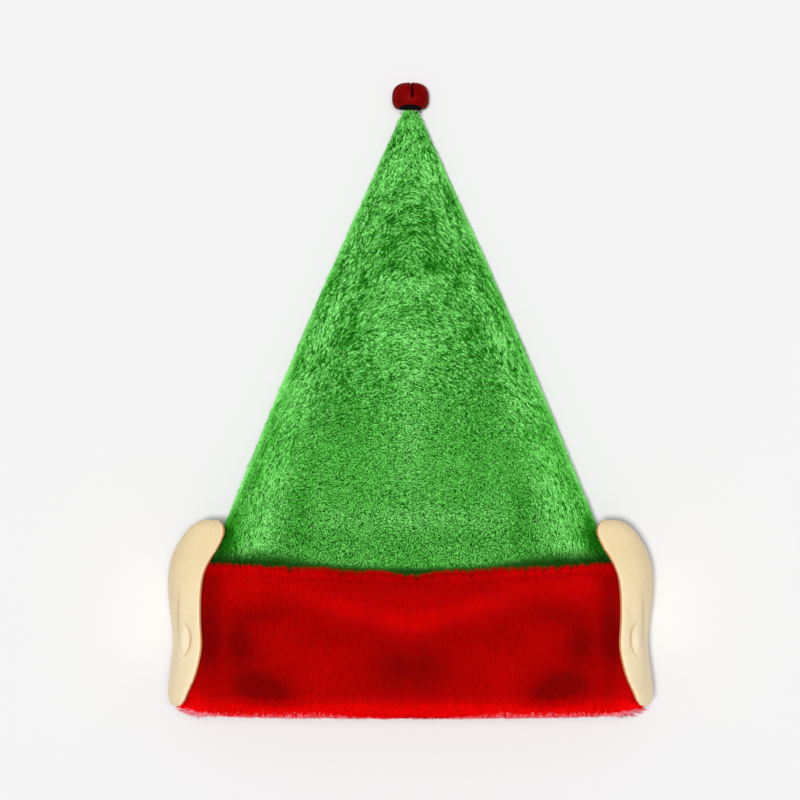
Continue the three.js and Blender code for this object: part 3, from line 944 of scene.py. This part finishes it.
def make_cuff(crown_tree, ear_trees):
    backing = smooth_copy("cuff_cloth", "cuff", RED_BACKING)
    points, normals, _ = read(backing.data)
    hidden = covered(points, normals, crown_tree, CUFF_REACH)
    ends = np.abs(normals[:, 1])
    points -= normals * np.where(hidden, CUFF_COVERED, CUFF_PILE * (1 - 0.75 * ends))[:, None]
    points = dented(points, normals, CUFF_SHADE, 2.2 * MM, 35, 48)
    points[:, 1] += 2 * MM * off_middle(points, 118, 142) * (1 - above_hem(points, 0, 12))
    points, normals, triangles = laid(backing.data, points, 1)
    open_air = ~hidden[triangles].all(1)
    middle, facing = points[triangles].mean(1), normals[triangles].mean(1)
    front = open_air & (facing[:, 2] > -0.1) & (middle[:, 2] > 22 * MM)
    thick = 1 + 0.8 * (1 - above_hem(middle, 2, 10))
    groups = {
        "cuff_pile_left": (front * (middle[:, 0] < 0) * thick, 72000, 81),
        "cuff_pile_right": (front * (middle[:, 0] >= 0) * thick, 72000, 82),
        "cuff_pile_back": (open_air & ~front, 40000, 83),
    }
    grow = lambda name: grown(
        name, RED_PILE, (points, normals, triangles), groups[name], (ear_trees, CUFF_ROOM),
        cuff_way, cuff_look, cuff_painted_shade,
    )
    low = 1 - above_hem(middle, 2, 6)
    seen = open_air & (middle[:, 2] > 14 * MM) & (middle[:, 2] < 62 * MM)
    fringe = (seen * low * (0.5 + off_middle(middle, 118, 136)), 9000, 84)
    loose = grown(
        "cuff_pile_hem", RED_FUZZ_SHEEN, (points, normals, triangles), fringe, (ear_trees, HEM_ROOM),
        hem_way, hem_look, lambda places: np.zeros(len(places)),
    )
    return [backing, *map(grow, groups), loose]


def hem_way(places, normals):
    """The loose strands along the hem stick down, and at its corners outwards too."""
    way = np.zeros_like(places)
    way[:, 0] = np.sign(places[:, 0]) * (0.1 + 0.9 * off_middle(places, 118, 142))
    way[:, 1] = -1
    return way


def hem_look(places):
    corner = off_middle(places, 118, 140)
    return {
        **cuff_look(places),
        "uneven": 0.3,
        "length": (2.2 + 5.0 * corner) * MM,
        "width": (0.3 + 0.3 * corner) * MM,
        "lift": 0.9 - 0.3 * corner,
        "tip_lift": 0.6 - 0.4 * corner,
        "lift_stray": 0.2,
        "stray": 0.35,
        "tuft_wide": 1.6 * MM,
        "gather": 0.9,
        "tone": 0.72,
        "strand_tone": 0.2,
    }


# The ears

# The two lines drawn into an ear, in mm: how far up the hat, and how far out from its middle
EAR_OUTER_LINE = [(-162, 142.1), (-154, 144.6), (-144, 145.8), (-132, 145.8), (-113, 144.6)]
EAR_INNER_LINE = [
    (-162, 142.1), (-158.1, 139.5), (-153.7, 138.0),
    (-148.7, 137.7), (-143.6, 138.9), (-139.9, 141.4),
]

# The raised lobe between them, in mm, with its height as a share of the lines' depth
EAR_LOBE = [{"x": 141.8, "y": -151, "wide": 2.6, "tall": 7.5, "tilt": 0, "depth": 1.3}]

# How far in from its inner edge an ear's rim goes, and how fine that edge is followed, in mm
EAR_RIM = 4.0
EAR_STEP = 1.5

# How deep the ear's lines are pressed in
EAR_RELIEF = 0.4 * MM


def drawn_line(across, up, line, width):
    """1 on the line, fading over its width."""
    return np.exp(-(((across - np.interp(up, *zip(*line))) / width) ** 2))


def ear_numbers(points):
    """How near each point is to the ear's inner rim, how high up the ear, and its drawn-in lines."""
    across, up = np.abs(points[:, 0]) / MM, points[:, 1] / MM
    steps = np.round((up - up.min()) / EAR_STEP).astype(int)
    inner = np.full(steps.max() + 1, 1e3)
    np.minimum.at(inner, steps, across)
    rim = 1 - np.clip((across - inner[steps]) / EAR_RIM, 0, 1)
    height = smooth(up, -150, -90)
    outer_ends = smooth(up, -163, -158) * (1 - smooth(up, -135, -112))
    inner_ends = smooth(up, -163, -160.5) * (1 - smooth(up, -141, -138.5))
    groove = np.maximum(
        0.6 * drawn_line(across, up, EAR_OUTER_LINE, 0.6) * outer_ends,
        drawn_line(across, up, EAR_INNER_LINE, 0.75) * inner_ends,
    )
    return rim, height, groove - patches(points, EAR_LOBE)


def make_ear(node):
    obj = smooth_copy(node + "_foam", node, EAR)
    points, normals, _ = read(obj.data)
    numbers = ear_numbers(points)
    points -= normals * (numbers[2] * EAR_RELIEF * (normals[:, 2] > 0))[:, None]
    move_points(obj.data, points)
    write_numbers(obj.data, "ear", numbers)
    return obj


# The bell

BELL_HEIGHT = 17 * MM
BELL_GIRTH = 6.3 * MM
BELL_RADIUS = 11.65 * MM
BELL_BASE = 7.6 * MM
BELL_WALL = 0.9 * MM

# How boxy the bell is above its girth: 2 is round
BELL_SQUARE = 2.8

# How many sides it has, its rings above its girth, and where those below it are, as shares
BELL_STEPS = 72
BELL_RINGS = 18
BELL_LOW_RINGS = (0, 0.04, 0.1, 0.2, 0.32, 0.46, 0.62, 0.8)

# How the bell is turned, in degrees, its crossed slots, and its softened edges
BELL_TURN = 6
SLOT_WIDTH = 1.7 * MM
SLOT_ABOVE_GIRTH = 0.6 * MM
SLOT_TALL = 16 * MM
SLOT_LONG = 28 * MM
SOFT_EDGE = 0.22 * MM

# The loop at its foot
LOOP_RADIUS = 2.6 * MM
LOOP_WIRE = 0.6 * MM
LOOP_POINTS = 12


def bell_radius(height, wall):
    base, girth = BELL_BASE - wall, BELL_RADIUS - wall
    if height < BELL_GIRTH:
        t = 1 - (height - wall) / (BELL_GIRTH - wall)
        return base + (girth - base) * math.sqrt(max(0.0, 1 - t * t))
    t = (height - BELL_GIRTH) / (BELL_HEIGHT - wall - BELL_GIRTH)
    return girth * max(0.0, 1 - t**BELL_SQUARE) ** (1 / BELL_SQUARE)


def turned(name, profile, steps, finish):
    """A body of revolution round the Y axis; the profile runs from pole to pole."""
    build = bmesh.new()
    rings = []
    for radius, height in profile:
        turns = [2 * math.pi * k / steps for k in range(steps if radius else 1)]
        rings.append(
            [build.verts.new((radius * math.cos(a), height, radius * math.sin(a))) for a in turns]
        )
    for low, high in zip(rings, rings[1:]):
        for k in range(steps):
            j = (k + 1) % steps
            corners = [low[k % len(low)], low[j % len(low)], high[j % len(high)], high[k % len(high)]]
            build.faces.new(list(dict.fromkeys(corners)))
    bmesh.ops.recalc_face_normals(build, faces=build.faces)
    mesh = bpy.data.meshes.new(name)
    build.to_mesh(mesh)
    build.free()
    return add_object(name, mesh, finish)


def bell_shell(name, wall, finish):
    top = BELL_HEIGHT - wall
    low = [wall + (BELL_GIRTH - wall) * s for s in BELL_LOW_RINGS]
    high = [
        BELL_GIRTH + (top - BELL_GIRTH) * math.sin(math.pi / 2 * s / BELL_RINGS)
        for s in range(BELL_RINGS)
    ]
    sides = [(bell_radius(y, wall), y) for y in low + high]
    return turned(name, [(0, wall), *sides, (0, top)], BELL_STEPS, finish)


def cut(obj, cutters):
    for cutter in cutters:
        modifier = obj.modifiers.new("cut", "BOOLEAN")
        modifier.object = cutter
        modifier.solver = "EXACT"
    settle(obj)
    for cutter in cutters:
        bpy.data.objects.remove(cutter)


def slot_cutter(turn):
    """A slot across the bell's pole, down to just above its girth."""
    build = bmesh.new()
    bmesh.ops.create_cube(build, size=1.0)
    for vertex in build.verts:
        vertex.co.x *= SLOT_WIDTH
        vertex.co.y = (vertex.co.y + 0.5) * SLOT_TALL + BELL_GIRTH + SLOT_ABOVE_GIRTH
        vertex.co.z *= SLOT_LONG
    matrix = Matrix.Rotation(math.radians(turn), 3, "Y")
    bmesh.ops.rotate(build, verts=build.verts, cent=(0, 0, 0), matrix=matrix)
    mesh = bpy.data.meshes.new("slot")
    build.to_mesh(mesh)
    build.free()
    return add_object("slot", mesh, LACQUER)


def tube(name, points, radius, finish, closed):
    """A round wire or thread through the points."""
    curve = bpy.data.curves.new(name, "CURVE")
    curve.dimensions = "3D"
    curve.bevel_depth = radius
    curve.bevel_resolution = 4
    curve.resolution_u = 6
    spline = curve.splines.new("NURBS")
    spline.points.add(len(points) - 1)
    for spot, place in zip(spline.points, points):
        spot.co = (*place, 1.0)
    spline.use_cyclic_u = closed
    spline.use_endpoint_u = not closed
    spline.order_u = 4
    curve.use_fill_caps = not closed
    line = bpy.data.objects.new(name, curve)
    bpy.context.scene.collection.objects.link(line)
    mesh = made_mesh(line)
    bpy.data.objects.remove(line)
    smooth_faces(mesh)
    return add_object(name, mesh, finish)


def make_bell():
    shell = bell_shell("bell_shell", 0.0, LACQUER)
    hollow = bell_shell("bell_hollow", BELL_WALL, LACQUER)
    cut(shell, [hollow, slot_cutter(BELL_TURN), slot_cutter(BELL_TURN + 90)])
    soften = shell.modifiers.new("edges", "BEVEL")
    soften.width = SOFT_EDGE
    soften.segments = 2
    soften.limit_method = "ANGLE"
    soften.angle_limit = math.radians(40)
    settle(shell)
    shell.data.transform(Matrix.Translation((0, BELL_Y, BELL_Z)))
    smooth_faces(shell.data)
    shell.data.set_sharp_from_angle(angle=math.radians(50))
    turns = [2 * math.pi * k / LOOP_POINTS for k in range(LOOP_POINTS)]
    round_about = [
        (LOOP_RADIUS * math.cos(a), BELL_Y + LOOP_RADIUS * math.sin(a), BELL_Z) for a in turns
    ]
    return [shell, tube("bell_loop", round_about, LOOP_WIRE, LACQUER, True)]


# The thread's way from the bell's loop to its free end, in mm from the bell's foot
THREAD_ROUTE = [
    (-0.5, -5.0, 0.5),
    (-0.8, -2.6, 1.6),
    (0.2, -1.6, 1.9),
    (1.2, -2.2, 1.5),
    (2.4, -3.2, 2.4),
    (3.8, -2.0, 3.4),
    (5.0, -0.2, 3.6),
    (6.2, -0.8, 3.0),
    (6.6, -2.4, 2.2),
]

# How thick the thread is there, and in its rows round the front of the bell's foot
THREAD_RADIUS = 0.32 * MM
ROW_RADIUS = 0.34 * MM

# How many rows there are, of how many points, and where each starts and how far it goes, in degrees
ROWS = 5
ROW_POINTS = 12
ROW_START = 32
ROW_SPAN = 116

# Where the rows start, in mm, and how much higher each is in its middle than the one before
ROW_FOOT = -0.2
ROW_RISE = 0.62

# How much the sine grows from a row's start to its middle
ROW_BULGE = 0.47


def make_thread():
    """The black thread that ties the bell's loop to the tip, with one free end, and its rows round
    the bell's foot, which also stand in for the shade where the foot meets the tip.
    """
    points = [(x * MM, BELL_Y + y * MM, BELL_Z + z * MM) for x, y, z in THREAD_ROUTE]
    ties = [tube("bell_thread", points, THREAD_RADIUS, THREAD, False)]
    # Rows of black thread round the front of the bell's foot; their dark also stands in for the shade
    # where the foot meets the tip.
    for row in range(ROWS):
        points = []
        for k in range(ROW_POINTS + 1):
            angle = math.radians(ROW_START + ROW_SPAN * k / ROW_POINTS)
            bulge = (math.sin(angle) - math.sin(math.radians(ROW_START))) / ROW_BULGE
            height = (ROW_FOOT + ROW_RISE * row * bulge) * MM
            radius = bell_radius(max(height, 0), 0) + 0.2 * MM
            out, up = radius * math.cos(angle), radius * math.sin(angle)
            points.append((out, BELL_Y + height, BELL_Z + up))
        ties.append(tube(f"bell_thread_shade_{row}", points, ROW_RADIUS, THREAD, False))
    return ties


# Studio

# The photo's size in pixels, and what one of them is on the hat
PICTURE = 800
PIXEL = 0.63 * MM

# A long lens, in mm, so far above the hat's outline that it makes the photo's frame
LENS = 250
SENSOR = 36
CAMERA_AWAY = PICTURE * PIXEL / SENSOR * LENS
OUTLINE_Z = 35 * MM

# How much larger the hat is in the photo than it would be so, and how far off the middle it is
CLOSER = 1.003
CAMERA_X = -10.5 * PIXEL
CAMERA_Y = -1.5 * PIXEL

# Two soft suns: how far each leans from straight above, which way, how strong and how soft it is
SUNS = [
    {"name": "key", "lean": 5.5, "turn": -72, "strength": 1.66, "spread": 7},
    {"name": "fill", "lean": 3, "turn": 150, "strength": 0.98, "spread": 14},
]
ROOM_LIGHT = 0.22

# Half of the floor's side, in metres
FLOOR_HALF = 4


def make_studio():
    scene = bpy.context.scene
    scene.view_settings.view_transform = "Standard"
    floor = bpy.data.meshes.new("floor")
    corners = [(x * FLOOR_HALF, y * FLOOR_HALF, 0) for x, y in ((-1, -1), (1, -1), (1, 1), (-1, 1))]
    floor.from_pydata(corners, [], [(0, 1, 2, 3)])
    add_object("floor", floor, FLOOR)

    world = bpy.data.worlds.new("soft_room")
    world.use_nodes = True
    room = world.node_tree.nodes["Background"].inputs
    room["Color"].default_value = (1, 1, 1, 1)
    room["Strength"].default_value = ROOM_LIGHT
    scene.world = world
    for sun in SUNS:
        light = bpy.data.lights.new(sun["name"], "SUN")
        light.energy = sun["strength"]
        light.angle = math.radians(sun["spread"])
        lamp = bpy.data.objects.new(sun["name"], light)
        lamp.rotation_euler = (math.radians(sun["lean"]), 0, math.radians(sun["turn"]))
        scene.collection.objects.link(lamp)

    camera = bpy.data.cameras.new("camera")
    camera.lens = LENS * CLOSER
    camera.sensor_width = SENSOR
    camera.clip_end = 20
    eye = bpy.data.objects.new("camera", camera)
    eye.location = (CAMERA_X, CAMERA_Y, CAMERA_AWAY + OUTLINE_Z)
    scene.collection.objects.link(eye)
    scene.camera = eye


# Everything is made in place of the CAD ears, cone, cuff and bell, which are hidden, and each piece
# hangs on the root body

make_studio()
ears = {node: make_ear(node) for node in ("left_ear", "right_ear")}
ear_trees = [tree_of(ear.data) for ear in ears.values()]
bell = make_bell()
bell_tree = tree_of(bell[0].data)
crown = make_crown(tree_of(NODES["cuff"].data), ear_trees, bell_tree)
cuff = make_cuff(tree_of(NODES["crown"].data), ear_trees)
threads = make_thread()

for node, ear in ears.items():
    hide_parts(node)
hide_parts("crown")
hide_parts("cuff")
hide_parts("bell")
for slot in NODES["bell_pellet"].material_slots:
    slot.material = STEEL.material

for piece in [*crown, *cuff, *ears.values(), *bell, *threads]:
    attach(piece, "root")
    piece not in threads
